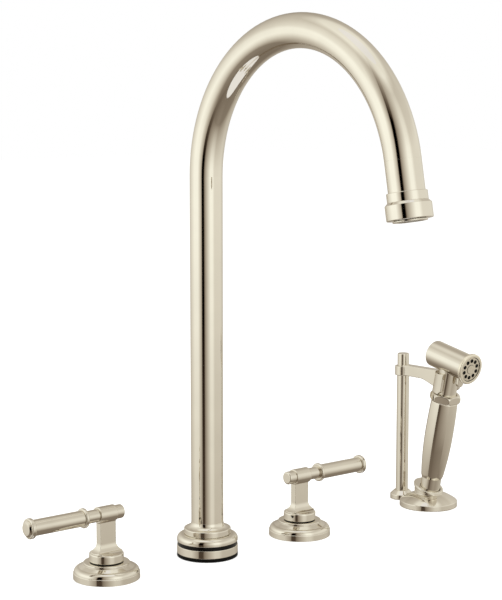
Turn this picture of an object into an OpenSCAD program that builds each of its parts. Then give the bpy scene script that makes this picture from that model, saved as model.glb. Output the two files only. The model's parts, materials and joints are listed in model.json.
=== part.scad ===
// Widespread kitchen faucet: gooseneck spout, two lever handles and a side sprayer in its dock.
// The origin is on the spout's axis at deck level. +X runs along the row, -Y is over the sink.

/* [Layout] */
// Distance from the spout's axis to each handle's axis
handle_spacing = 101.6; // [95:0.1:125]
// Distance from the spout's axis to the sprayer dock's axis
sprayer_offset = 260.4; // [245:0.1:320]

/* [Spout tube] */
// Outer radius of the spout tube
tube_r = 13.4; // [12.8:0.1:14.5]
// Wall of the spout tube
tube_wall = 1.2; // [0.8:0.1:1.6]
// Height of the arch's centre above the deck
arch_h = 315.6; // [250:0.1:360]
// Radius of the arch, to the tube's centre line
arch_r = 114.6; // [90:0.1:130]
// Angle that the arch turns through
arch_sweep = 169.1; // [155:0.1:180]
// Straight tube between the arch and the nozzle
outlet_run = 22.7; // [15:0.1:35]

/* [Nozzle] */
// Wall of the ring on the tube's end
nozzle_ring_wall = 1.4; // [1:0.1:2]
// Length of the ring on the tube's end
nozzle_ring_h = 6.7; // [5:0.1:9]
// Length of the taper between ring and collar
nozzle_taper_h = 2; // [1:0.1:3]
// How far the collar stands out past the ring
nozzle_step = 2.05; // [1.5:0.05:3]
// Length of the screw-on collar
nozzle_collar_h = 11; // [9:0.1:14]
// Radius of the aerator
aerator_r = 11.4; // [9:0.1:12]
// How far the aerator shows below the collar
aerator_reveal = 1.8; // [1:0.1:3]
// Holes across the aerator's screen
screen_rows = 4; // [2:1:4]

/* [Spout base] */
// Radius of the stacked rings under the spout
base_r = 25.4; // [24:0.1:28]
// Thickness of the black deck gasket
gasket_h = 2.8; // [2:0.1:4]
// Height of the metal ring on the gasket
base_ring_h = 6.8; // [5:0.1:9]
// Height of the black touch insulator
band_h = 3.1; // [2:0.1:4]
// How far the insulator lies back from the rings
band_recess = 0.35; // [0.2:0.05:0.8]
// Straight edge of the body over the insulator
body_edge_h = 1.8; // [1:0.1:3]
// Radius of the body's round shoulder
shoulder_r = 4.2; // [3:0.1:5]
// Radius of the swivelling foot of the tube
foot_r = 19.5; // [18:0.1:21]
// Height of the swivelling foot's rim
foot_h = 4.7; // [3.5:0.1:6]
// Height of the hollow sweep from foot to tube
flare_h = 5.4; // [4.5:0.1:8]
// Radius of the post that the spout turns on
pivot_r = 10; // [9.6:0.1:10.6]
// Height of the post above the body
pivot_h = 34; // [32:0.1:60]
// Radius of the hole for the supply shank
shank_hole_r = 9.3; // [8:0.1:10]
// Depth of the hole for the supply shank
shank_hole_h = 10; // [8:0.1:10.5]

/* [Handle flange] */
// Radius of a handle's flange
flange_r = 26.7; // [25:0.1:30]
// Height of the flange's straight rim
flange_rim_h = 5.2; // [4:0.1:7]
// Radius of the rounding over the rim
flange_dome_r = 4; // [2:0.1:4]
// Height of the slope from the rounding to the step
flange_slope_h = 2; // [1:0.1:4]
// Radius of the step on the flange
flange_step_r = 18.6; // [17:0.1:20]
// Height of the step on the flange
flange_step_h = 2; // [1.4:0.1:3]
// Radius of the hole for the valve body
valve_hole_r = 13.2; // [12:0.1:14]
// Depth of the hole for the valve body
valve_hole_h = 6; // [5:0.1:8]

/* [Handle hub] */
// Radius of the turning hub
hub_r = 13.85; // [13:0.05:15]
// Height of the turning hub
hub_h = 6.8; // [5:0.1:9]
// Thickness of the black glide ring under the hub
glide_h = 0.7; // [0.5:0.1:1.5]
// Width of the flat stem, along the lever
stem_w = 14.6; // [12:0.1:15]
// Thickness of the flat stem
stem_t = 5.9; // [5:0.1:8]
// Radius of the sweep at the stem's foot, along the lever
sweep_w = 8.2; // [6:0.1:9]
// Radius of the sweep at the stem's foot, across the lever
sweep_t = 7.6; // [6:0.1:9]
// Height of the lever's axis above the deck
lever_z = 51.7; // [46:0.1:60]
// Radius of the hole for the valve stem
spline_r = 4; // [3.5:0.1:4.5]

/* [Lever] */
// Radius of the cross collar on the stem
collar_r = 6.6; // [6.3:0.1:8]
// Reach of the cross collar towards the grip
collar_out = 8.3; // [7.6:0.1:10]
// Reach of the cross collar away from the grip
collar_in = 7.5; // [7.4:0.1:10]
// Radius of the round cap behind the collar
cap_r = 5.6; // [5.4:0.1:6.2]
// Length of the round cap behind the collar
cap_len = 7.5; // [6:0.1:10]
// Radius of the core rod inside the lever
core_r = 4; // [3:0.1:4.3]
// Radius of the bare rod between collar and bolster
rod_r = 5.15; // [4.8:0.05:5.6]
// Length of the bare rod
rod_len = 11.7; // [8:0.1:16]
// Radius of the bolster ring
bolster_r = 8; // [7.2:0.1:9]
// Length of the bolster ring
bolster_len = 3; // [2:0.1:5]
// Radius of the grip
grip_r = 6.4; // [5.6:0.1:7]
// Length of the grip
grip_len = 45.6; // [35:0.1:60]
// Radius of the ring at the grip's end
end_ring_r = 8.15; // [7.2:0.05:9]
// Length of the ring at the grip's end
end_ring_len = 3.6; // [2.5:0.1:5]
// How far the end button stands out
button_len = 2; // [1:0.1:3]

/* [Sprayer dock] */
// Radius of the dock's flange
dock_r = 26.6; // [25:0.1:29]
// Height of the dock flange's straight rim
dock_rim_h = 5.2; // [4:0.1:7]
// Height of the dock's top above its rim
dock_dome_h = 7.6; // [6:0.1:9]
// Outer radius of the cup
cup_r = 12.9; // [12.4:0.1:14]
// Height of the cup's rim at its middle
cup_h = 18.6; // [17:0.1:20]
// Slant of the cup's rim, high at the back
cup_slant = 20; // [10:1:25]
// Radius of the hole for the hose
hose_hole_r = 7.4; // [6:0.1:7.5]
// Depth of the hole for the hose, up to the wider bottom of the seat
hose_hole_h = 6; // [5:0.1:6.2]
// Distance from the cup's axis back to the post
post_back = 35.4; // [35:0.1:45]
// Radius of the post
post_r = 5.75; // [5.4:0.05:7]
// Height of the post's shoulder, where the arm sits
post_h = 118.3; // [117:0.1:119.5]
// Radius of the boss under the post
boss_r = 10.9; // [10:0.1:12]
// Height of the boss's straight rim
boss_rim_h = 4.6; // [3:0.1:6]
// Height of the boss's rounding
boss_dome_h = 3.4; // [2:0.1:4]

/* [Sprayer bracket] */
// Outer radius of the collar on the post
arm_collar_r = 7.7; // [7.4:0.1:9]
// Height of the collar on the post
arm_collar_h = 8.8; // [7:0.1:10]
// Thickness of the arm
arm_t = 8.4; // [6:0.1:10]
// Height of the cap on the post
post_cap_h = 11.8; // [8:0.1:16]
// Thickness of each prong of the fork
prong_t = 3; // [2:0.1:4]
// Reach of the prongs past the neck's axis
prong_reach = 4.3; // [2:0.1:5]

/* [Hand sprayer] */
// Forward lean of the sprayer in its dock
lean = 11.5; // [9:0.5:13]
// Height of the seat's centre above the deck
seat_z = 14; // [13:0.1:15]
// Radius of the ferrule and its round end
ferrule_r = 9.2; // [8.6:0.1:9.6]
// Length of the ferrule above the seat's centre
ferrule_len = 13.9; // [12:0.1:18]
// Length of the faceted grip
spray_grip_len = 75.5; // [70:0.1:77]
// Half width over the grip's flats, at its widest
spray_grip_r = 12.6; // [11.5:0.1:13.2]
// Height of the grip's widest point above its foot
spray_grip_peak = 44; // [35:0.1:50]
// Length curve of the flats below the widest point
lower_curve_r = 330; // [300:10:600]
// Length curve of the flats above the widest point
upper_curve_r = 600; // [500:10:900]
// Radius over the corners of the hexagonal nut
nut_r = 14.5; // [13.8:0.1:15.5]
// Height of the hexagonal nut
nut_h = 7.5; // [6:0.1:8]
// Rounding of the nut's upper corners
nut_round_top = 3.6; // [1.5:0.1:3.6]
// Rounding of the nut's lower corners
nut_round_low = 2.2; // [0.8:0.1:2.4]
// Radius of the neck
neck_r = 9.4; // [8.6:0.1:9.8]
// Length of the neck, from the nut to the head's underside
neck_len = 19.2; // [18.6:0.1:24]
// Radius of the head's barrel
head_r = 12.2; // [11.4:0.1:13]
// Reach of the barrel behind the neck's axis
head_back = 21.7; // [16:0.1:24]
// Reach of the barrel ahead of the neck's axis
head_front = 21.9; // [20:0.1:28]
// Radius of the ring round the spray face
face_ring_r = 14.2; // [13.4:0.1:15.5]
// Length of the ring round the spray face
face_ring_len = 3.3; // [2.6:0.1:5]
// Radius of the spray face
face_r = 11.4; // [10.6:0.1:11.6]
// Number of jets in the spray face
jet_count = 10; // [6:1:12]
// Radius of each jet
jet_r = 1.2; // [0.8:0.1:1.4]
// Radius of the circle of jets
jet_circle_r = 7.9; // [7:0.1:8.4]

/* [Trigger] */
// Width of the trigger
trigger_w = 7; // [5:0.1:8]
// Thickness of the trigger
trigger_t = 2.6; // [2:0.1:3]
// Length of the trigger below its pin
trigger_len = 11; // [8:0.1:13]
// Distance of the trigger's pin ahead of the neck's axis
trigger_ahead = 14.4; // [14:0.1:15]

/* [Hidden] */
$fn = 96;

nickel = [0.83, 0.79, 0.71];
dark_nickel = [0.55, 0.52, 0.46];
black_rubber = [0.05, 0.05, 0.05];
black_acetal = [0.09, 0.09, 0.09];
steel = [0.6, 0.6, 0.6];

// Clearances
run_gap = 0.05;
face_gap = 0.3;
eps = 0.01;
lap = 0.02;
far = 80;

left = -1;
right = 1;

// Spout base, from the deck up
ring_z = gasket_h;
band_z = ring_z + base_ring_h;
body_z = band_z + band_h;
body_top = body_z + body_edge_h + shoulder_r;
foot_z = body_top + face_gap;
foot_top = foot_z + foot_h;
tube_z = foot_top + flare_h;
post_flange_r = base_r - 8;
spigot_r = tube_r - tube_wall;
spigot_h = 14;
seal_bulge = 0.8;
clip_z = tube_z + spigot_h + face_gap;
clip_h = 1.2;
clip_depth = 1;
waterway_r = 5;
pivot_top = body_top + pivot_h + flare_h;
swivel_seal_z = [foot_top + 1, tube_z + spigot_h - 4];

// Nozzle, along the tube from the arch's end
ring_start = outlet_run;
ring_end = ring_start + nozzle_ring_h;
nozzle_ring_r = tube_r + nozzle_ring_wall;
nozzle_collar_r = nozzle_ring_r + nozzle_step;
collar_start = ring_end + nozzle_taper_h;
collar_end = collar_start + nozzle_collar_h;
thread_r = tube_r + nozzle_ring_wall / 2;
thread_len = nozzle_taper_h + 4;
aerator_flange_h = 1.4;
aerator_seal_h = 1.2;
aerator_lip_z = ring_end + thread_len + aerator_seal_h + aerator_flange_h;
screen_pitch = 2.1;
screen_hole_r = 0.7;

// Handle
dome_top = flange_rim_h + flange_dome_r;
step_z = dome_top + flange_slope_h;
flange_top = step_z + flange_step_h;
hub_z = flange_top + glide_h;
hub_top = hub_z + hub_h;
bush_wall = 1.6;
hub_spigot_r = 8.6;
bush_r = hub_spigot_r + run_gap + bush_wall;
hub_edge = 1.3;
screw_r = 1.6;
socket_r = 0.9;
socket_past = 2.5;
seal_in = 19.5;
seal_out = 22.5;
seal_h = 1.5;
rod_start = collar_out;
bolster_start = rod_start + rod_len;
grip_start = bolster_start + bolster_len;
end_ring_start = grip_start + grip_len;
button_start = end_ring_start + end_ring_len;

// Dock
seat_y = -(seat_z - 8) * tan(lean);
dock_top = dock_rim_h + dock_dome_h;
seat_r = ferrule_r + run_gap;
tilt_range = 10.5;
lip_out = 0.6;
lip_top = 0.5;
lip_h = 1.8;
seat_steps = 12;
seat_step = 0.6;
ball_depth = 5.2;
hose_thread_r = 5.2;
hose_thread_h = 9;
post_spigot_r = 4;
grip_rows = 16;
grip_foot_r = 9.5;
grip_foot_angle = 20;
boss_top = boss_rim_h + boss_dome_h;
cap_post_r = post_r - 0.3;

// The dock's low dome is part of a large sphere
dome_ball_r = (pow(dock_r - 0.5, 2) - pow(cup_r, 2) + pow(dock_dome_h, 2)) / (2 * dock_dome_h) + 6;
dome_drop = sqrt(pow(dome_ball_r, 2) - pow(dock_r - 0.5, 2));

// Arm between the post and the fork
arm_top = post_h + arm_collar_h + 1.2;
arm_low = post_h + 0.6;
sweep_steps = 8;

// Sprayer, along its own axis from the seat's centre
grip_z = ferrule_len;
nut_z = grip_z + spray_grip_len;
neck_z = nut_z + nut_h;
head_z = neck_z + neck_len + head_r;
fork_z = neck_z + 0.6;
fork_top = fork_z + neck_len - 1.4;
slot_r = neck_r + face_gap;
fork_half = slot_r + prong_t;
chamber_len = 2.4;
face_start = head_front + face_ring_len;
face_recess = 0.9;
face_t = 2;
pin_r = 1.2;
pin_z = head_z - head_r + 2.7;
pin_len = trigger_w + 3;
trigger_slot_r = trigger_t + 1.4;

// --- shared shapes -------------------------------------------------------------------------

// Half section of a turned disc, with its rim rounded at the top and the bottom
module disc_section(r, h, top = 0, bottom = 0) {
    difference() {
        union() {
            translate([0, bottom]) square([r, h - top - bottom]);
            if (top > 0) {
                translate([0, h - top - eps]) square([r - top, top + eps]);
                translate([r - top, h - top]) circle(top);
            }
            if (bottom > 0) {
                square([r - bottom, bottom + eps]);
                translate([r - bottom, bottom]) circle(bottom);
            }
        }
        if (2 * top > h) translate([0, -2 * top]) square([r, 2 * top]);
        if (2 * bottom > h) translate([0, h]) square([r, 2 * bottom]);
    }
}

// Turned disc standing on z = 0
module turned(r, h, top = 0, bottom = 0) {
    rotate_extrude() disc_section(r, h, top, bottom);
}

// Straight hole or shaft from z0 to z1
module shaft(r, z0, z1) {
    translate([0, 0, z0]) cylinder(r = r, h = z1 - z0);
}

// Flat ring from z0 to z1
module ring(r_in, r_out, z0, z1) {
    difference() {
        shaft(r_out, z0, z1);
        shaft(r_in, z0 - 1, z1 + 1);
    }
}

// A handle's place on the deck. Its lever points away from the spout.
module at_handle(side) {
    translate([side * handle_spacing, 0, 0])
        rotate([0, 0, side > 0 ? 180 : 0])
            children();
}

// The lever's axis: +Z here runs from the stem out to the end of the grip
module along_lever(side) {
    at_handle(side) translate([0, 0, lever_z]) rotate([0, -90, 0]) children();
}

// The end of the arch: +Z here runs out of the tube
module at_outlet() {
    translate([0, arch_r * (cos(arch_sweep) - 1), arch_h + arch_r * sin(arch_sweep)])
        rotate([arch_sweep, 0, 0])
            children();
}

module at_dock() {
    translate([sprayer_offset, 0, 0]) children();
}

// The sprayer's axis, from the centre of its round seat: -Y here is the way it sprays
module at_sprayer() {
    at_dock() translate([0, seat_y, seat_z]) rotate([lean, 0, 0]) children();
}

// The head's axis: +Z here runs out of the spray face
module at_head() {
    at_sprayer() translate([0, 0, head_z]) rotate([90, 0, 0]) children();
}

// --- spout ---------------------------------------------------------------------------------

module deck_gasket() {
    color(black_rubber) difference() {
        turned(base_r, gasket_h, 0.4, 0.4);
        shaft(post_flange_r, -1, gasket_h + 1);
    }
}

module base_ring() {
    color(nickel) difference() {
        translate([0, 0, ring_z]) turned(base_r, base_ring_h, 0.5, 0.5);
        shaft(post_flange_r, ring_z - 1, band_z + 1);
    }
}

module touch_band() {
    color(black_rubber) ring(post_flange_r, base_r - band_recess, band_z, body_z);
}

module spout_body() {
    color(nickel) difference() {
        translate([0, 0, body_z]) turned(base_r, body_top - body_z, shoulder_r, 0.4);
        shaft(pivot_r, body_z - 1, body_top + 1);
    }
}

// Fixed post: it takes the supply shank from below, and the spout turns on it
module pivot_post() {
    color(steel) difference() {
        union() {
            shaft(post_flange_r, 0, body_z);
            shaft(pivot_r, body_z - 1, pivot_top);
        }
        shaft(shank_hole_r, -1, shank_hole_h);
        shaft(waterway_r, shank_hole_h - 1, pivot_top + 1);
        for (z = swivel_seal_z) seal_groove(z);
        ring(pivot_r - clip_depth, pivot_r + 1, clip_z, clip_z + clip_h);
    }
}

module seal_groove(z) {
    ring(pivot_r - 2 * seal_bulge, pivot_r + 1, z - seal_bulge, z + seal_bulge);
}

module swivel_seals() {
    color(black_rubber) for (z = swivel_seal_z)
        translate([0, 0, z]) rotate_extrude() translate([pivot_r - seal_bulge, 0]) circle(seal_bulge);
}

module retaining_clip() {
    color(steel) ring(pivot_r - clip_depth, spigot_r - 0.6, clip_z, clip_z + clip_h);
}

module glide_washer() {
    color(black_acetal) ring(pivot_r, foot_r - 0.6, body_top, foot_z);
}

// Turning foot of the tube: a rim, a hollow sweep up to the tube, and a spigot inside it
module spout_foot() {
    color(nickel) difference() {
        union() {
            translate([0, 0, foot_z]) turned(foot_r, foot_h, 0.9, 0.3);
            rotate_extrude() difference() {
                translate([0, foot_top - 1]) square([tube_r + flare_h, flare_h + 1]);
                translate([tube_r + flare_h, tube_z]) circle(flare_h);
                translate([tube_r + flare_h - eps, foot_top - 2]) square([5, flare_h + 3]);
            }
            shaft(spigot_r, foot_top, tube_z + spigot_h);
        }
        shaft(pivot_r + run_gap, foot_z - 1, tube_z + spigot_h + 1);
    }
}

module tube_run(r, past) {
    shaft(r, tube_z - past, arch_h);
    translate([0, -arch_r, arch_h]) rotate([90, 0, 90])
        rotate_extrude(angle = arch_sweep) translate([arch_r, 0]) circle(r);
    at_outlet() shaft(r - lap, -1, ring_end + past);
}

module spout_tube() {
    color(nickel) difference() {
        tube_run(tube_r, 0);
        tube_run(tube_r - tube_wall, 1);
    }
}

// Ring soldered over the tube's end, with the thread that carries the collar
module nozzle_ring() {
    color(nickel) at_outlet() difference() {
        union() {
            translate([0, 0, ring_start]) turned(nozzle_ring_r, nozzle_ring_h, 0, 0.5);
            shaft(thread_r, ring_end - 1, ring_end + thread_len);
        }
        shaft(tube_r - lap, ring_start - 1, ring_end);
        shaft(tube_r - tube_wall, ring_end - 1, ring_end + thread_len + 1);
    }
}

module nozzle_collar() {
    color(nickel) at_outlet() difference() {
        union() {
            translate([0, 0, ring_end])
                cylinder(r1 = nozzle_ring_r, r2 = nozzle_collar_r, h = nozzle_taper_h);
            translate([0, 0, collar_start]) turned(nozzle_collar_r, nozzle_collar_h, 0.8, 0);
        }
        shaft(thread_r, ring_end - 1, aerator_lip_z);
        shaft(aerator_r + 0.2, aerator_lip_z - 1, collar_end + 1);
    }
}

module aerator_seal() {
    color(black_rubber) at_outlet()
        ring(tube_r - tube_wall - 2, thread_r - 0.3, ring_end + thread_len,
             ring_end + thread_len + aerator_seal_h);
}

module aerator_body() {
    color(dark_nickel) at_outlet() difference() {
        union() {
            shaft(thread_r - 0.3, aerator_lip_z - aerator_flange_h, aerator_lip_z);
            shaft(aerator_r, aerator_lip_z - 0.5, collar_end + aerator_reveal);
        }
        shaft(aerator_r - 1.5, aerator_lip_z - aerator_flange_h - 1, collar_end + aerator_reveal + 1);
    }
}

// Screen with a hexagonal field of holes
module aerator_screen() {
    color(steel) at_outlet() difference() {
        shaft(aerator_r - 1.5, collar_end + aerator_reveal - 1.8, collar_end + aerator_reveal - 0.6);
        for (i = [-screen_rows:screen_rows], j = [-screen_rows:screen_rows])
            if (abs(i + j) <= screen_rows)
                translate([screen_pitch * (i + j / 2), screen_pitch * j * sin(60), 0])
                    shaft(screen_hole_r, collar_end, collar_end + aerator_reveal);
    }
}

// --- handles -------------------------------------------------------------------------------

module handle_flange(side) {
    color(nickel) at_handle(side) difference() {
        union() {
            turned(flange_r, flange_rim_h, 0.7, 0);
            turned(flange_r - 0.5, dome_top, flange_dome_r, 0);
            translate([0, 0, dome_top - eps]) cylinder(
                r1 = flange_r - 0.5 - flange_dome_r, r2 = flange_step_r, h = flange_slope_h + eps);
            translate([0, 0, step_z - 1]) turned(flange_step_r, flange_step_h + 1, 0.8, 0);
        }
        shaft(valve_hole_r, -1, valve_hole_h);
        shaft(bush_r, valve_hole_h - 1, flange_top + 1);
        seal_recess();
    }
}

module seal_recess() {
    ring(seal_in, seal_out, -1, seal_h);
}

module handle_deck_seal(side) {
    color(black_rubber) at_handle(side) ring(seal_in, seal_out, 0, seal_h);
}

// Flanged bush that the hub turns in. Its edge shows as a black line.
module handle_glide_ring(side) {
    color(black_acetal) at_handle(side) difference() {
        union() {
            shaft(bush_r, valve_hole_h, flange_top + eps);
            shaft(hub_r - 0.4, flange_top, hub_z - run_gap);
        }
        shaft(hub_spigot_r + run_gap, valve_hole_h - 1, hub_z + 1);
    }
}

// Flat stem with hollow sweeps that run out into the round hub
module flat_stem() {
    stem_top = lever_z;
    w = stem_w / 2;
    t = stem_t / 2;
    intersection() {
        shaft(hub_r - hub_edge, hub_top - 1, stem_top);
        difference() {
            translate([-w - sweep_w, -t - sweep_t, hub_top - 1])
                cube([2 * (w + sweep_w), 2 * (t + sweep_t), stem_top - hub_top + 1]);
            for (s = [-1, 1]) {
                translate([s * (w + sweep_w), 0, hub_top + sweep_w]) rotate([90, 0, 0])
                    cylinder(r = sweep_w, h = far, center = true);
                translate([s * (w + far / 2), 0, hub_top + sweep_w + far / 2])
                    cube(far, center = true);
                translate([0, s * (t + sweep_t), hub_top + sweep_t]) rotate([0, 90, 0])
                    cylinder(r = sweep_t, h = far, center = true);
                translate([0, s * (t + far / 2), hub_top + sweep_t + far / 2])
                    cube(far, center = true);
            }
        }
    }
}

module handle_hub(side) {
    color(nickel) difference() {
        union() {
            at_handle(side) {
                shaft(hub_spigot_r, valve_hole_h, hub_z + 1);
                translate([0, 0, hub_z]) turned(hub_r, hub_h, hub_edge, 0.3);
                flat_stem();
            }
            along_lever(side) translate([0, 0, -collar_in])
                turned(collar_r, collar_in + collar_out, 0.5, 0.5);
        }
        at_handle(side) shaft(spline_r, valve_hole_h - 1, hub_top + socket_past);
        along_lever(side) shaft(core_r, -collar_in - 1, collar_out + 1);
        screw_hole(side);
    }
}

// Grub screw in the back of the hub
module screw_hole(side) {
    translate([side * handle_spacing, 0, hub_z + hub_h / 2]) rotate([-90, 0, 0])
        shaft(screw_r, 0, hub_r + 1);
}

module handle_set_screw(side) {
    color(steel) translate([side * handle_spacing, 0, hub_z + hub_h / 2]) rotate([-90, 0, 0])
        difference() {
            shaft(screw_r, spline_r + 0.2, hub_r - 0.6);
            translate([0, 0, hub_r - 2.4]) cylinder(r = socket_r, h = 3, $fn = 6);
        }
}

// Core rod of the lever: it shows between the collar and the bolster
module lever_rod(side) {
    color(nickel) along_lever(side) {
        shaft(core_r, -collar_in - cap_len + 2, end_ring_start);
        translate([0, 0, rod_start]) turned(rod_r, rod_len, 0, 0.3);
    }
}

module lever_cap(side) {
    color(nickel) along_lever(side) difference() {
        translate([0, 0, -collar_in - cap_len]) turned(cap_r, cap_len, 0, 1.4);
        shaft(core_r, -collar_in - cap_len + 2, -collar_in + 1);
    }
}

module bolster(side) {
    color(nickel) along_lever(side) difference() {
        translate([0, 0, bolster_start]) turned(bolster_r, bolster_len, 1.1, 1.1);
        shaft(core_r, bolster_start - 1, grip_start + 1);
    }
}

module grip(side) {
    color(nickel) along_lever(side) difference() {
        translate([0, 0, grip_start]) turned(grip_r, grip_len, 0.6, 0.3);
        shaft(core_r, grip_start - 1, end_ring_start + 1);
    }
}

module end_ring(side) {
    color(nickel) along_lever(side)
        translate([0, 0, end_ring_start]) turned(end_ring_r, end_ring_len, 1, 1);
}

// Low round button: the cap of a sphere on the end of the lever
module button(side) {
    face_r = end_ring_r - 1.4;
    ball_r = (face_r * face_r + button_len * button_len) / (2 * button_len);
    color(nickel) along_lever(side) intersection() {
        translate([0, 0, button_start + button_len - ball_r]) sphere(ball_r);
        shaft(face_r + 1, button_start, button_start + button_len + 1);
    }
}

// --- sprayer dock --------------------------------------------------------------------------

// Flange, boss and cup in one casting. The cup's rim is cut on a slant.
module dock_base() {
    color(nickel) at_dock() difference() {
        union() {
            turned(dock_r, dock_rim_h, 0.7, 0);
            rotate_extrude() intersection() {
                square([dock_r - 0.5, dock_top]);
                translate([0, dock_rim_h - dome_drop]) circle(dome_ball_r);
            }
            intersection() {
                shaft(cup_r, 2, cup_h + 20);
                slant_block(0);
            }
            cup_lip();
            translate([0, post_back, 0]) {
                turned(boss_r, boss_rim_h, 0.6, 0);
                translate([0, 0, boss_rim_h - eps])
                    cylinder(r1 = boss_r - 0.4, r2 = post_r + 1.2, h = boss_dome_h + eps);
            }
        }
        at_seat() rotate([lean + tilt_range / 2, 0, 0]) seat_room();
        at_seat() shaft(hose_hole_r, -seat_z - 1, 0);
        at_seat() shaft(hose_hole_r + seat_step, hose_hole_h - seat_z, 0);
        translate([0, post_back, 0]) shaft(post_spigot_r, 2, boss_top + 1);
        seal_recess();
    }
}

// Room for the ferrule: a round seat, then a flare as wide as the tilt needs
module seat_room() {
    a = tilt_range / 2;
    top = cup_h + 10;
    rotate_extrude() polygon(concat(
        [[0, -seat_r]],
        [for (k = [1:seat_steps]) let (b = 90 - (90 - a) * k / seat_steps)
            seat_r * [cos(b), -sin(b)]],
        [[seat_r * cos(a) + (top + seat_r * sin(a)) * tan(a), top], [0, top]]
    ));
}

module at_seat() {
    translate([0, seat_y, seat_z]) children();
}

// Everything below the cup's slanted rim, lowered by drop
module slant_block(drop) {
    translate([0, 0, cup_h]) rotate([cup_slant, 0, 0])
        translate([-far / 2, -far / 2, -far - drop]) cube(far);
}

// Raised lip along the slanted rim of the cup
module cup_lip() {
    difference() {
        intersection() {
            shaft(cup_r + lip_out, 2, cup_h + 20);
            slant_block(lip_top);
        }
        slant_block(lip_top + lip_h);
    }
}

module dock_seal() {
    color(black_rubber) at_dock() ring(seal_in, seal_out, 0, seal_h);
}

module at_post() {
    at_dock() translate([0, post_back, 0]) children();
}

module bracket_post() {
    color(nickel) at_post() {
        shaft(post_spigot_r, 2, boss_top);
        shaft(post_r, boss_top, post_h);
        shaft(post_spigot_r, post_h - 1, post_h + arm_collar_h + post_cap_h - 3);
    }
}

module post_cap() {
    color(nickel) at_post() difference() {
        translate([0, 0, post_h + arm_collar_h]) turned(cap_post_r, post_cap_h, 1, 0.2);
        shaft(post_spigot_r, post_h, post_h + arm_collar_h + post_cap_h - 3);
    }
}

function fork_point(y, z) = [
    seat_y + y * cos(lean) - z * sin(lean),
    seat_z + y * sin(lean) + z * cos(lean)
];

// The arm's side view: straight at the post, with a hollow sweep down to the fork
module arm_side() {
    foot = fork_point(slot_r + 1, fork_z + 2);
    bend_y = post_back - 28;
    polygon(concat(
        [[post_back - 2, arm_top], [post_back - 2, arm_low]],
        [for (i = [0:sweep_steps]) let (a = 90 * i / sweep_steps)
            [foot[0] + (bend_y - foot[0]) * cos(a), arm_low - (arm_low - foot[1]) * (1 - cos(a))
                * (0.35 + 0.65 * sin(a))]],
        [fork_point(slot_r + 1, fork_top)]
    ));
}

// The fork's side view, square to the sprayer's axis
module fork_side() {
    back = fork_half + 1;
    polygon([
        [back, fork_z], [back, fork_top], [slot_r - 1, fork_top], [-prong_reach, fork_top + 1.6],
        [-prong_reach, fork_z + 3.4], [-prong_reach + 3.4, fork_z]
    ]);
}

// The fork's plan: round behind the neck, with straight prongs beside it
module fork_plan() {
    circle(fork_half);
    translate([-fork_half, -far / 2]) square([2 * fork_half, far / 2]);
}

module bracket_arm() {
    color(nickel) difference() {
        union() {
            at_post() translate([0, 0, post_h]) turned(arm_collar_r, arm_collar_h, 0.5, 0.5);
            at_dock() translate([-arm_t / 2, 0, 0]) rotate([90, 0, 90])
                linear_extrude(height = arm_t) arm_side();
            at_sprayer() intersection() {
                translate([0, 0, fork_z - 1]) linear_extrude(height = far / 2) fork_plan();
                translate([-fork_half - 1, 0, 0]) rotate([90, 0, 90])
                    linear_extrude(height = 2 * fork_half + 2) fork_side();
            }
        }
        at_post() shaft(post_spigot_r, post_h - 1, post_h + arm_collar_h + 5);
        at_post() shaft(cap_post_r, post_h + arm_collar_h, post_h + arm_collar_h + 5);
        at_sprayer() {
            shaft(slot_r, fork_z - far / 2, fork_z + far / 2);
            translate([-slot_r, -far, fork_z - far / 2]) cube([2 * slot_r, far, far]);
        }
        arm_screw_hole();
    }
}

module arm_screw_hole() {
    at_post() translate([0, 0, post_h + arm_collar_h / 2]) rotate([-90, 0, 0])
        shaft(screw_r, 0, arm_collar_r + 1);
}

module arm_screw() {
    color(steel) at_post() translate([0, 0, post_h + arm_collar_h / 2]) rotate([-90, 0, 0])
        difference() {
            shaft(screw_r, post_spigot_r + 0.2, arm_collar_r - 0.4);
            translate([0, 0, arm_collar_r - 1.8]) cylinder(r = socket_r, h = 3, $fn = 6);
        }
}

// --- hand sprayer --------------------------------------------------------------------------

// Ferrule with a ball end that rocks in the cup. The hose's thread is in the ball.
module sprayer_ferrule() {
    color(nickel) at_sprayer() difference() {
        union() {
            intersection() {
                sphere(ferrule_r);
                shaft(ferrule_r + 1, -ball_depth, 1);
            }
            shaft(ferrule_r, 0, ferrule_len);
        }
        shaft(hose_thread_r, -ball_depth - 1, hose_thread_h - ball_depth);
    }
}

// Half width over the grip's flats at height z
function grip_half(z) = spray_grip_r - pow(z - spray_grip_peak, 2)
    / (2 * (z < spray_grip_peak ? lower_curve_r : upper_curve_r));

// Eight bulging sides, one ring of corners at each height
module grip_sides() {
    corners = [for (k = [0:grip_rows]) let (z = spray_grip_len * k / grip_rows)
        for (i = [0:7]) let (a = 45 * i + 22.5, r = grip_half(z) / cos(22.5))
            [r * cos(a), r * sin(a), z]];
    polyhedron(points = corners, faces = concat(
        [[for (i = [0:7]) i]],
        [[for (i = [7:-1:0]) 8 * grip_rows + i]],
        [for (k = [0:grip_rows - 1], i = [0:7]) let (n = (i + 1) % 8)
            [8 * k + i, 8 * k + 8 + i, 8 * k + 8 + n, 8 * k + n]]
    ));
}

// The foot is turned to a cone, which leaves a scallop under each side
module sprayer_grip() {
    wide = spray_grip_r + 2;
    color(nickel) at_sprayer() translate([0, 0, grip_z]) intersection() {
        grip_sides();
        rotate_extrude() polygon([
            [0, 0], [grip_foot_r, 0], [wide, (wide - grip_foot_r) / tan(grip_foot_angle)],
            [wide, spray_grip_len - 1.4], [wide - 2.6, spray_grip_len], [0, spray_grip_len]
        ]);
    }
}

module sprayer_nut() {
    color(nickel) at_sprayer() translate([0, 0, nut_z]) intersection() {
        cylinder(r = nut_r, h = nut_h, $fn = 6);
        turned(nut_r - 0.1, nut_h, nut_round_top, nut_round_low);
    }
}

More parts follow.
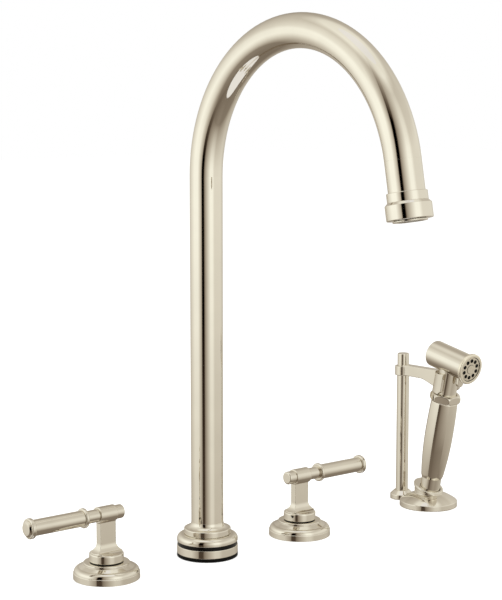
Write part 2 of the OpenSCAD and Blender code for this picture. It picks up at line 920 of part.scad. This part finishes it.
// Neck between nut and head: its top is cut to the barrel's round
module sprayer_neck() {
    color(nickel) difference() {
        at_sprayer() {
            translate([0, 0, neck_z]) turned(neck_r, neck_len + head_r / 2, 0, 0);
        }
        at_head() shaft(head_r, -head_back - 1, head_front + 1);
    }
}

module head_barrel() {
    color(nickel) difference() {
        at_head() translate([0, 0, -head_back])
            turned(head_r, head_back + head_front, 0.3, 1.1);
        at_head() shaft(face_r - 1, head_front - chamber_len, head_front + 1);
        trigger_slot();
        at_pin() shaft(pin_r, -pin_len / 2, pin_len / 2);
    }
}

module face_ring() {
    color(nickel) at_head() difference() {
        translate([0, 0, head_front]) turned(face_ring_r, face_ring_len, 1.2, 0.6);
        shaft(face_r, head_front - 1, face_start + 1);
    }
}

module spray_face() {
    color(dark_nickel) at_head() difference() {
        union() {
            shaft(face_r, head_front, face_start - face_recess);
            shaft(jet_circle_r / 2, head_front, face_start - face_recess + 0.4);
        }
        for (i = [0:jet_count - 1]) rotate([0, 0, 360 * (i + 0.5) / jet_count])
            translate([jet_circle_r, 0, 0]) shaft(jet_r, head_front - 1, face_start);
    }
}

// --- trigger -------------------------------------------------------------------------------

// The trigger's pin: +Z here runs across the sprayer
module at_pin() {
    at_sprayer() translate([0, -trigger_ahead, pin_z]) rotate([0, 90, 0]) children();
}

module trigger_slot() {
    at_sprayer() translate([-trigger_w / 2 - 0.2, -trigger_ahead - trigger_slot_r / 2 - 0.4,
                            head_z - head_r - 2])
        cube([trigger_w + 0.4, trigger_slot_r + 2.6, 7.4]);
}

module trigger_lever() {
    color(nickel) at_sprayer() difference() {
        union() {
            translate([-trigger_w / 2, -trigger_ahead, pin_z]) rotate([0, 90, 0])
                cylinder(r = trigger_t / 2 + 0.6, h = trigger_w);
            translate([-trigger_w / 2, -trigger_ahead - trigger_t / 2, pin_z - trigger_len + trigger_w / 2])
                cube([trigger_w, trigger_t, trigger_len - trigger_w / 2]);
            translate([0, -trigger_ahead + trigger_t / 2, pin_z - trigger_len + trigger_w / 2])
                rotate([90, 0, 0]) cylinder(r = trigger_w / 2, h = trigger_t);
        }
        translate([0, -trigger_ahead, pin_z]) rotate([0, 90, 0])
            cylinder(r = pin_r + run_gap, h = trigger_w + 2, center = true);
    }
}

module trigger_pin() {
    color(steel) at_pin() shaft(pin_r, -pin_len / 2, pin_len / 2);
}

// --- nodes ---------------------------------------------------------------------------------

deck_gasket();
base_ring();
touch_band();
spout_body();
pivot_post();
swivel_seals();
retaining_clip();
glide_washer();
spout_foot();
spout_tube();
nozzle_ring();
nozzle_collar();
aerator_seal();
aerator_body();
aerator_screen();
handle_flange(left);  // left_flange
handle_deck_seal(left);  // left_deck_seal
handle_glide_ring(left);  // left_glide_ring
handle_hub(left);  // left_hub
handle_set_screw(left);  // left_set_screw
lever_rod(left);  // left_lever_rod
lever_cap(left);  // left_lever_cap
bolster(left);  // left_bolster
grip(left);  // left_grip
end_ring(left);  // left_end_ring
button(left);  // left_button
handle_flange(right);  // right_flange
handle_deck_seal(right);  // right_deck_seal
handle_glide_ring(right);  // right_glide_ring
handle_hub(right);  // right_hub
handle_set_screw(right);  // right_set_screw
lever_rod(right);  // right_lever_rod
lever_cap(right);  // right_lever_cap
bolster(right);  // right_bolster
grip(right);  // right_grip
end_ring(right);  // right_end_ring
button(right);  // right_button
dock_base();
dock_seal();
bracket_post();
bracket_arm();
arm_screw();
post_cap();
sprayer_ferrule();
sprayer_grip();
sprayer_nut();
sprayer_neck();
head_barrel();
face_ring();
spray_face();
trigger_lever();
trigger_pin();
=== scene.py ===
"""Looks of the kitchen faucet set: camera, studio, finishes and the finer pieces."""

import json
import math

import bmesh
import bpy
from mathutils import Matrix, Vector


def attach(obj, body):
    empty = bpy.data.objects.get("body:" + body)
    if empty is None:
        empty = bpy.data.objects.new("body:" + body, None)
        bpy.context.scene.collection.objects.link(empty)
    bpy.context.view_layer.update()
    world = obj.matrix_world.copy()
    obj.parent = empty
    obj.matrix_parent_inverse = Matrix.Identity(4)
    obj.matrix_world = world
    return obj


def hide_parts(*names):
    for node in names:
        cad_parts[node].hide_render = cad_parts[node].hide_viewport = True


MM = 0.001

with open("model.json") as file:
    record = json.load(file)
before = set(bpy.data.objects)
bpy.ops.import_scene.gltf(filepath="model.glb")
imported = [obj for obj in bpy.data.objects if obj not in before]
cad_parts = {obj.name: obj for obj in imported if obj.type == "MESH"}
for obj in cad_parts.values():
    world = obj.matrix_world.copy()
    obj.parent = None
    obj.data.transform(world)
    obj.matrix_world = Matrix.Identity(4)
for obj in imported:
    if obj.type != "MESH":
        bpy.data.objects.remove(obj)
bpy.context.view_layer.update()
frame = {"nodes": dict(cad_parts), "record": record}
NODES = frame["nodes"]
scene = bpy.context.scene
scene.view_settings.view_transform = "Standard"

# --- camera ------------------------------------------------------------------------------------

CAMERA_AZIMUTH = -129.185  # degrees, from the object to the camera
CAMERA_PITCH = 7.5307  # degrees that it looks down
CAMERA_PLACE = (-0.83064, -1.07660, 0.39410)
LENS, SENSOR = 100.43, 36
camera = bpy.data.objects.new("camera", bpy.data.cameras.new("camera"))
scene.collection.objects.link(camera)
camera.location = CAMERA_PLACE
camera.rotation_euler = (math.radians(90 - CAMERA_PITCH), 0, math.radians(90 + CAMERA_AZIMUTH))
camera.data.sensor_width = SENSOR
camera.data.lens = LENS
camera.data.clip_end = 50
scene.camera = camera


# --- node helpers ------------------------------------------------------------------------------

def new_material(name):
    material = bpy.data.materials.new(name)
    material.use_nodes = True
    tree = material.node_tree
    return material, tree, tree.nodes["Principled BSDF"]


def linear(srgb):
    """A colour as it is seen on the screen, for a shader's socket."""
    return tuple(c / 12.92 if c <= 0.04045 else ((c + 0.055) / 1.055) ** 2.4 for c in srgb) + (1,)


def math_node(tree, operation, a, b=None):
    node = tree.nodes.new("ShaderNodeMath")
    node.operation = operation
    for socket, value in zip(node.inputs, (a, b)):
        if isinstance(value, (int, float)):
            socket.default_value = value
        elif value is not None:
            tree.links.new(value, socket)
    return node.outputs[0]


def mix_colors(tree, blend, factor, a, b):
    node = tree.nodes.new("ShaderNodeMix")
    node.data_type = "RGBA"
    node.blend_type = blend
    for socket, value in (("Factor", factor), ("A", a), ("B", b)):
        socket = [s for s in node.inputs if s.name == socket and s.enabled][0]
        if isinstance(value, (int, float, tuple)):
            socket.default_value = value
        else:
            tree.links.new(value, socket)
    return [s for s in node.outputs if s.enabled][0]


def noise(tree, scale, detail, roughness=0.5):
    coords = tree.nodes.new("ShaderNodeTexCoord")
    texture = tree.nodes.new("ShaderNodeTexNoise")
    texture.inputs["Scale"].default_value = scale
    texture.inputs["Detail"].default_value = detail
    texture.inputs["Roughness"].default_value = roughness
    tree.links.new(coords.outputs["Object"], texture.inputs["Vector"])
    return texture.outputs["Fac"]


NOISE_LOW, NOISE_HIGH = 0.3, 0.7  # nearly all of a noise lies between these


def spread(tree, value, low, high):
    """A noise's values, spread from low to high."""
    node = tree.nodes.new("ShaderNodeMapRange")
    node.inputs["From Min"].default_value = NOISE_LOW
    node.inputs["From Max"].default_value = NOISE_HIGH
    node.inputs["To Min"].default_value = low
    node.inputs["To Max"].default_value = high
    tree.links.new(value, node.inputs["Value"])
    return node.outputs[0]


def bump(tree, value, strength, distance, normal=None):
    node = tree.nodes.new("ShaderNodeBump")
    node.inputs["Strength"].default_value = strength
    node.inputs["Distance"].default_value = distance
    tree.links.new(value, node.inputs["Height"])
    if normal is not None:
        tree.links.new(normal, node.inputs["Normal"])
    return node.outputs[0]


# --- finishes ----------------------------------------------------------------------------------

CLOUD_SCALE, HAZE_SCALE, RIPPLE_SCALE, GRIT_SCALE = 35, 180, 60, 900
CLOUD_SHADE = 0.975  # the darkest clouds' share of the colour
RIPPLE, RIPPLE_DEPTH, GRAIN_DEPTH = 0.02, 0.4 * MM, 0.1 * MM


def metal(name, color, rough_low, rough_high, edge=0.0, edge_samples=4, metallic=1):
    """Plated metal: a little haze that varies, and the faint waviness of a buffed surface."""
    material, tree, shader = new_material(name)
    shader.inputs["Metallic"].default_value = metallic
    cloud = spread(tree, noise(tree, CLOUD_SCALE, 4), 0, 1)
    darker = linear([c * CLOUD_SHADE for c in color])
    tint = mix_colors(tree, "MIX", cloud, linear(color), darker)
    tree.links.new(tint, shader.inputs["Base Color"])
    haze = noise(tree, HAZE_SCALE, 5, 0.6)
    tree.links.new(spread(tree, haze, rough_low, rough_high), shader.inputs["Roughness"])
    soft_edge = None
    if edge:
        node = tree.nodes.new("ShaderNodeBevel")
        node.samples = edge_samples
        node.inputs["Radius"].default_value = edge
        soft_edge = node.outputs[0]
    buffed = bump(tree, noise(tree, RIPPLE_SCALE, 1), RIPPLE, RIPPLE_DEPTH, soft_edge)
    tree.links.new(buffed, shader.inputs["Normal"])
    return material


def dull(name, color, roughness, grain, specular=0.5):
    """Rubber or moulded plastic, with a fine grain."""
    material, tree, shader = new_material(name)
    grit = noise(tree, GRIT_SCALE, 3, 0.6)
    lighter = linear([min(1, c * 1.3 + 0.01) for c in color])
    tint = mix_colors(tree, "MIX", spread(tree, grit, 0, 1), linear(color), lighter)
    tree.links.new(tint, shader.inputs["Base Color"])
    tree.links.new(spread(tree, grit, roughness - 0.06, roughness + 0.08), shader.inputs["Roughness"])
    tree.links.new(bump(tree, grit, grain, GRAIN_DEPTH), shader.inputs["Normal"])
    shader.inputs["Specular IOR Level"].default_value = specular
    return material


NICKEL = (0.907, 0.885, 0.843)
FINISHES = {
    "nickel": metal("polished_nickel", NICKEL, 0.03, 0.06, edge=0.4 * MM),
    "steel": metal("stainless_steel", (0.74, 0.74, 0.73), 0.16, 0.26),
    "face_grey": metal("satin_face", (0.84, 0.80, 0.72), 0.24, 0.34, metallic=0.45),
    "black_rubber": dull("black_rubber", (0.025, 0.022, 0.018), 0.6, 0.15, specular=0.12),
    "black_band": dull("gloss_black_band", (0.025, 0.02, 0.014), 0.2, 0.03, specular=0.2),
    "black_acetal": dull("black_acetal", (0.03, 0.026, 0.02), 0.34, 0.08, specular=0.2),
    "aerator_grey": dull("aerator_plastic", (0.47, 0.46, 0.43), 0.38, 0.1),
}

# castings have softer edges, and the washer under the foot shows no dark rim
CAST_NICKEL = metal("cast_nickel", NICKEL, 0.03, 0.06, edge=0.9 * MM, edge_samples=8)
NODE_FINISHES = {
    "glide_washer": FINISHES["nickel"],
    "face_ring": metal("satin_ring", (0.94, 0.91, 0.84), 0.1, 0.16, edge=0.6 * MM,
                       edge_samples=8, metallic=0.8),
}
for name in ("left_hub", "right_hub", "bracket_arm", "dock_base", "sprayer_nut", "trigger_lever"):
    NODE_FINISHES[name] = CAST_NICKEL

slots = {s["node"]: s["material_slot"] for s in frame["record"]["subparts"]}
for name, node in NODES.items():
    node.data.materials.clear()
    node.data.materials.append(NODE_FINISHES.get(name, FINISHES[slots[name]]))


# --- studio ------------------------------------------------------------------------------------

# plain soft panels on both sides with one dark gap: degrees from the camera's side, level
WALLS = [
    (-180, 0.4), (-90, 1.2), (-60, 1.2), (-33, 0.5), (-30, 0), (-15, 0), (-10, 0.3), (30, 1.2),
    (45, 1.2), (60, 0.9), (120, 0.9), (180, 0.4),
]
# how much of the panels' light is left: metres above the deck, share
WALL_SHARE = [(-3, 0), (-1, 0.1), (0, 0.9), (0.2, 1), (0.7, 1), (2, 0.3), (5, 0)]
# ceiling and dark floor: metres above the deck, level
CEILING = [(-3, 0), (1, 0), (3, 0.8), (5, 1)]
FLOOR = [(-3, 0.2), (-1, 0.15), (0, 0), (5, 0)]
WALL_R, WALL_LOW, WALL_HIGH = 1.4, -3.0, 5.0
WALL_TALL = WALL_HIGH - WALL_LOW
# the colour's red, green and blue at a level: gain, power
TINT = [("Red", 1.01, 0.89), ("Green", 1, 1), ("Blue", 0.91, 1.095)]
MATT_LIGHT, WHITE = 0.75, 1.0  # the world's level for matt surfaces, and for all other rays
FLOOR_GLOW = 0.4  # what the camera sees of the floor besides the light on it


def tone(tree, level):
    """The studio's colour at a level: brown in its shadows, and creamy where it is lit."""
    color = tree.nodes.new("ShaderNodeCombineColor")
    for socket, gain, power in TINT:
        channel = math_node(tree, "MULTIPLY", math_node(tree, "POWER", level, power), gain)
        tree.links.new(channel, color.inputs[socket])
    return color.outputs[0]


def ramp(tree, value, stops):
    """Level by position, from stops of (position, level)."""
    node = tree.nodes.new("ShaderNodeValToRGB")
    elements = node.color_ramp.elements
    elements[0].position, elements[1].position = stops[0][0], stops[-1][0]
    for position, _ in stops[1:-1]:
        elements.new(position)
    for element, (_, level) in zip(elements, stops):
        element.color = (level, level, level, 1)
    tree.links.new(value, node.inputs["Fac"])
    split = tree.nodes.new("ShaderNodeSeparateColor")
    tree.links.new(node.outputs["Color"], split.inputs[0])
    return split.outputs["Green"]


def by_side(stops):
    """Stops by degrees from the camera's side, as shares of the turn."""
    return [(0.5 + angle / 360, level) for angle, level in stops]


def by_height(stops):
    """Stops by metres above the deck, as positions up the walls."""
    return [((z - WALL_LOW) / WALL_TALL, level) for z, level in stops]


def background(tree, strength):
    node = tree.nodes.new("ShaderNodeBackground")
    node.inputs["Color"].default_value = (1, 1, 1, 1)
    node.inputs["Strength"].default_value = strength
    return node.outputs[0]


def add_world():
    """White to the camera, to metal and to glass, and a plain soft level to matt surfaces."""
    world = bpy.data.worlds.new("studio")
    scene.world = world
    world.use_nodes = True
    tree = world.node_tree
    tree.nodes.clear()
    output = tree.nodes.new("ShaderNodeOutputWorld")
    paths = tree.nodes.new("ShaderNodeLightPath")
    mirrored = math_node(tree, "MAXIMUM", paths.outputs["Is Glossy Ray"],
                         paths.outputs["Is Transmission Ray"])
    seen = math_node(tree, "MAXIMUM", paths.outputs["Is Camera Ray"], mirrored)
    mix = tree.nodes.new("ShaderNodeMixShader")
    tree.links.new(seen, mix.inputs[0])
    tree.links.new(background(tree, MATT_LIGHT), mix.inputs[1])
    tree.links.new(background(tree, WHITE), mix.inputs[2])
    tree.links.new(mix.outputs[0], output.inputs["Surface"])


def add_walls():
    """Round wall with its lit panels and one dark strip. Only mirrored rays see it."""
    steps = 64
    mesh = bpy.data.meshes.new("studio_walls")
    verts, faces = [], []
    for i in range(steps):
        angle, j = math.tau * i / steps, (i + 1) % steps
        for z in (WALL_LOW, WALL_HIGH):
            verts.append((WALL_R * math.cos(angle), WALL_R * math.sin(angle), z))
        faces.append((2 * i, 2 * j, 2 * j + 1, 2 * i + 1))
    mesh.from_pydata(verts, [], faces)
    walls = bpy.data.objects.new("studio_walls", mesh)
    scene.collection.objects.link(walls)

    material, tree, shader = new_material("studio_walls")
    tree.nodes.remove(shader)
    coords = tree.nodes.new("ShaderNodeTexCoord")
    split = tree.nodes.new("ShaderNodeSeparateXYZ")
    tree.links.new(coords.outputs["Object"], split.inputs[0])
    x, y, z = split.outputs
    # azimuth as a share of the turn, with the camera's own side at 0.5
    turned = math_node(tree, "DIVIDE", math_node(tree, "ARCTAN2", y, x), math.tau)
    share = math_node(tree, "FRACT", math_node(tree, "ADD", turned, 1.5 - CAMERA_AZIMUTH / 360))
    height = math_node(tree, "DIVIDE", math_node(tree, "SUBTRACT", z, WALL_LOW), WALL_TALL)
    light = math_node(tree, "MULTIPLY", ramp(tree, share, by_side(WALLS)),
                      ramp(tree, height, by_height(WALL_SHARE)))
    for stops in (CEILING, FLOOR):
        light = math_node(tree, "ADD", light, ramp(tree, height, by_height(stops)))
    glow = tree.nodes.new("ShaderNodeEmission")
    tree.links.new(tone(tree, light), glow.inputs["Color"])
    tree.links.new(glow.outputs[0], tree.nodes["Material Output"].inputs["Surface"])
    material.cycles.emission_sampling = "NONE"
    mesh.materials.append(material)
    for ray in ("camera", "diffuse", "transmission", "volume_scatter", "shadow"):
        setattr(walls, "visible_" + ray, False)


def add_floor():
    """Pale floor: it keeps the object's shadow, and is otherwise white to the camera."""
    mesh = bpy.data.meshes.new("floor")
    size, drop = 6.0, -0.2 * MM
    mesh.from_pydata([(-size, -size, drop), (size, -size, drop), (size, size, drop),
                      (-size, size, drop)], [], [(0, 1, 2, 3)])
    floor = bpy.data.objects.new("floor", mesh)
    scene.collection.objects.link(floor)
    material, tree, shader = new_material("pale_floor")
    shader.inputs["Base Color"].default_value = (0.93, 0.93, 0.92, 1)
    shader.inputs["Roughness"].default_value = 0.9
    shader.inputs["Specular IOR Level"].default_value = 0.0
    paths = tree.nodes.new("ShaderNodeLightPath")
    glow = tree.nodes.new("ShaderNodeEmission")
    glow.inputs["Color"].default_value = (1, 1, 1, 1)
    seen = math_node(tree, "MULTIPLY", paths.outputs["Is Camera Ray"], FLOOR_GLOW)
    tree.links.new(seen, glow.inputs["Strength"])
    both = tree.nodes.new("ShaderNodeAddShader")
    tree.links.new(shader.outputs[0], both.inputs[0])
    tree.links.new(glow.outputs[0], both.inputs[1])
    tree.links.new(both.outputs[0], tree.nodes["Material Output"].inputs["Surface"])
    mesh.materials.append(material)
    floor.visible_glossy = False


def add_lamp(name, location, target, size, watts):
    data = bpy.data.lights.new(name, "AREA")
    data.shape = "DISK"
    data.size = size
    data.energy = watts
    lamp = bpy.data.objects.new(name, data)
    lamp.location = location
    direction = Vector(target) - Vector(location)
    lamp.rotation_euler = direction.to_track_quat("-Z", "Y").to_euler()
    lamp.visible_glossy = False
    lamp.visible_camera = False
    scene.collection.objects.link(lamp)


add_world()
add_walls()
add_floor()
add_lamp("overhead", (-0.3, -0.5, 2.2), (0.05, -0.05, 0), 1.6, 20)


# --- mesh helpers: everything below is in millimetres until a piece is placed ------------------

def turn(degrees, axis):
    return Matrix.Rotation(math.radians(degrees), 4, axis)


def shift(x, y, z):
    return Matrix.Translation((x, y, z))


ARCH_R, ARCH_H, ARCH_SWEEP = 114.6, 315.6, 169.1  # the spout's bend, and degrees it turns
SEAT = (260.4, -1.2207, 14.0)  # where the sprayer's ball end stands
LEAN = 11.5
HEAD_Z = 128.3
LEVER_Z = 51.7
HANDLE_X = 101.6

sweep = math.radians(ARCH_SWEEP)
AT_OUTLET = shift(0, ARCH_R * (math.cos(sweep) - 1), ARCH_H + ARCH_R * math.sin(sweep)) \
    @ turn(ARCH_SWEEP, "X")
AT_SPRAYER = shift(*SEAT) @ turn(LEAN, "X")
AT_HEAD = AT_SPRAYER @ shift(0, 0, HEAD_Z) @ turn(90, "X")
AT_LEVER = {
    "left": shift(-HANDLE_X, 0, LEVER_Z) @ turn(-90, "Y"),
    "right": shift(HANDLE_X, 0, LEVER_Z) @ turn(180, "Z") @ turn(-90, "Y"),
}


def rounded(points, steps=5):
    """A profile from (radius, height, rounding) corners."""
    profile = []
    count = len(points)
    for i, (r, z, rounding) in enumerate(points):
        corner = Vector((r, z))
        if not rounding or i in (0, count - 1):
            profile.append(corner)
            continue
        before = (Vector(points[i - 1][:2]) - corner).normalized()
        after = (Vector(points[i + 1][:2]) - corner).normalized()
        half = before.angle(after) / 2
        reach = rounding / math.tan(half)
        centre = corner + (before + after).normalized() * rounding / math.sin(half)
        start, end = corner + before * reach - centre, corner + after * reach - centre
        for k in range(steps + 1):
            spoke = start.lerp(end, k / steps).normalized() * rounding
            profile.append(centre + spoke)
    return profile


def lathe(work, profile, place=Matrix(), steps=96):
    """Turns an open profile round Z. Points on the axis are shared."""
    rings = []
    for r, z in profile:
        if r < 1e-6:
            rings.append([work.verts.new(place @ Vector((0, 0, z)))] * steps)
        else:
            rings.append([work.verts.new(place @ Vector((
                r * math.cos(math.tau * i / steps), r * math.sin(math.tau * i / steps), z)))
                for i in range(steps)])
    for low, high in zip(rings, rings[1:]):
        for i in range(steps):
            j = (i + 1) % steps
            corners = []
            for vert in (low[i], low[j], high[j], high[i]):
                if vert not in corners:
                    corners.append(vert)
            if len(corners) > 2:
                work.faces.new(corners)


def place_piece(name, work, place, body, slot, nodes=(), crease=35):
    """Makes a piece of a mesh in millimetres: it rides on a body and may stand for CAD nodes."""
    bmesh.ops.recalc_face_normals(work, faces=work.faces[:])
    mesh = bpy.data.meshes.new(name)
    limit = math.radians(crease)
    for face in work.faces:
        face.smooth = True
    for edge in work.edges:
        edge.smooth = len(edge.link_faces) != 2 or edge.calc_face_angle(0) < limit
    work.to_mesh(mesh)
    work.free()
    mesh.transform(Matrix.Scale(MM, 4) @ place)
    piece = bpy.data.objects.new(name, mesh)
    scene.collection.objects.link(piece)
    mesh.materials.append(FINISHES[slot])
    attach(piece, body)
    if nodes:
        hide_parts(*nodes)


# --- levers: flat button on the end, with a sloping shoulder ----------------------------------

RING_END, BUTTON_FACE_R, BUTTON_R, BUTTON_H = 72.2, 5.2, 6.6, 1.95


def add_button(side):
    work = bmesh.new()
    top = RING_END + BUTTON_H
    lathe(work, rounded([
        (0, RING_END - 0.5, 0), (BUTTON_R - 0.4, RING_END - 0.5, 0),
        (BUTTON_R, RING_END + 0.1, 0.1), (BUTTON_R, RING_END + 0.45, 0.15),
        (BUTTON_FACE_R, top - 0.1, 0.25), (BUTTON_FACE_R - 1.5, top, 2), (0, top, 0),
    ]))
    place_piece(side + "_end_button", work, AT_LEVER[side], side + "_handle", "nickel",
                [side + "_button"])


for side in ("left", "right"):
    add_button(side)


# --- nozzle: the aerator's bright lip under the collar -----------------------------------------

COLLAR_END, SHELL_R, LIP_R, LIP_BORE_R, LIP_H = 42.4, 11.3, 12.7, 10.0, 1.6


def add_aerator():
    work = bmesh.new()
    inside, end = COLLAR_END - 4, COLLAR_END + LIP_H
    lathe(work, rounded([
        (SHELL_R, inside, 0), (SHELL_R, COLLAR_END + 0.25, 0.1), (LIP_R, COLLAR_END + 0.3, 0.2),
        (LIP_R, end - 0.15, 0.5), (LIP_BORE_R + 0.6, end, 0.3),
        (LIP_BORE_R, COLLAR_END + 0.7, 0.2), (LIP_BORE_R - 0.1, inside, 0),
    ]))
    place_piece("aerator_lip", work, AT_OUTLET, "spout", "nickel", ["aerator_body"])


add_aerator()


# --- spray face: ten soft jets -----------------------------------------------------------------

FACE_Z, JET_CIRCLE_R, JET_COUNT = 24.3, 7.9, 10
JET_R, JET_TIP_R, JET_RISE = 1.8, 1.3, 0.6
# painted shade on the face, black rings where the grooves' shade and shadow fall: inner radius, outer
# radius, rise over the face
SHADE_LINES = [(10.95, 11.4, 0.12), (3.95, 4.25, 0.1)]
LINE_SINK = 0.2


def add_jets():
    work = bmesh.new()
    tip = FACE_Z + JET_RISE
    profile = rounded([
        (JET_R, FACE_Z - 1.2, 0), (JET_R - 0.05, FACE_Z + 0.2, 0.1), (JET_TIP_R, tip, 0.3),
        (0, tip, 0),
    ], 3)
    for i in range(JET_COUNT):
        spoke = turn(360 * (i + 0.5) / JET_COUNT, "Z") @ shift(JET_CIRCLE_R, 0, 0)
        lathe(work, profile, spoke, 20)
    place_piece("spray_jets", work, AT_HEAD, "sprayer", "black_rubber")


add_jets()


def add_painted_shade_lines():
    """Painted shade: a black ring for the shade in the groove inside the face ring, and one for the
    painted shadow round the face's boss.
    """
    work = bmesh.new()
    low = FACE_Z - LINE_SINK
    for inner, outer, rise in SHADE_LINES:
        high = FACE_Z + rise
        lathe(work, [(inner, low), (inner, high), (outer, high), (outer, low)])
    place_piece("painted_shade_lines", work, AT_HEAD, "sprayer", "black_rubber")


add_painted_shade_lines()


# --- sprayer's grip: eight crowned sides over a turned foot ------------------------------------

GRIP_Z, GRIP_LEN, GRIP_HALF, GRIP_PEAK = 13.9, 75.5, 12.6, 44.0
LOW_CURVE, HIGH_CURVE = 330.0, 600.0
FOOT_R, FOOT_SLOPE = 9.5, math.tan(math.radians(20))
SIDES = 8
HALF_SIDE = math.pi / SIDES
CROWN, CROWN_SHARE = 0.5, 0.6  # a side's crown, and the share of it over the flat
TOP_ROUND = 0.9
SIDE_STEPS, FOOT_ROWS, GRIP_ROWS = 14, 8, 64


def flat_half(z):
    curve = LOW_CURVE if z < GRIP_PEAK else HIGH_CURVE
    return GRIP_HALF - (z - GRIP_PEAK) ** 2 / (2 * curve)


def side_radius(u, z):
    """Radius of a crowned side at u from -1 to 1 across it."""
    half = flat_half(z)
    across = u * half * math.tan(HALF_SIDE)
    return math.hypot(half + CROWN * (CROWN_SHARE - u * u), across)


def foot_height(u):
    """Height where the turned foot meets the side at u across it."""
    low, high = 0.0, 30.0
    for _ in range(40):
        middle = (low + high) / 2
        if FOOT_R + FOOT_SLOPE * middle < side_radius(u, middle):
            low = middle
        else:
            high = middle
    return low


def add_grip():
    work = bmesh.new()
    columns = []
    top = GRIP_LEN - TOP_ROUND
    for side in range(SIDES):
        for step in range(SIDE_STEPS):
            u = -1 + 2 * step / SIDE_STEPS
            angle = 2 * HALF_SIDE * side + math.atan(u * math.tan(HALF_SIDE))
            foot = foot_height(u)
            column = []
            for k in range(FOOT_ROWS + 1):
                z = foot * k / FOOT_ROWS
                column.append((FOOT_R + FOOT_SLOPE * z, z))
            for k in range(1, GRIP_ROWS + 1):
                z = foot + (top - foot) * k / GRIP_ROWS
                column.append((side_radius(u, z), z))
            column.append((side_radius(u, top) - 0.35, GRIP_LEN - 0.2))
            column.append((side_radius(u, top) - TOP_ROUND, GRIP_LEN))
            columns.append([work.verts.new((r * math.cos(angle), r * math.sin(angle), z))
                            for r, z in column])
    for a, b in zip(columns, columns[1:] + columns[:1]):
        for k in range(len(a) - 1):
            work.faces.new((a[k], b[k], b[k + 1], a[k + 1]))
    work.faces.new([column[0] for column in reversed(columns)])
    work.faces.new([column[-1] for column in columns])
    place_piece("crowned_grip", work, AT_SPRAYER @ shift(0, 0, GRIP_Z), "sprayer", "nickel",
                ["sprayer_grip"], crease=14)


add_grip()
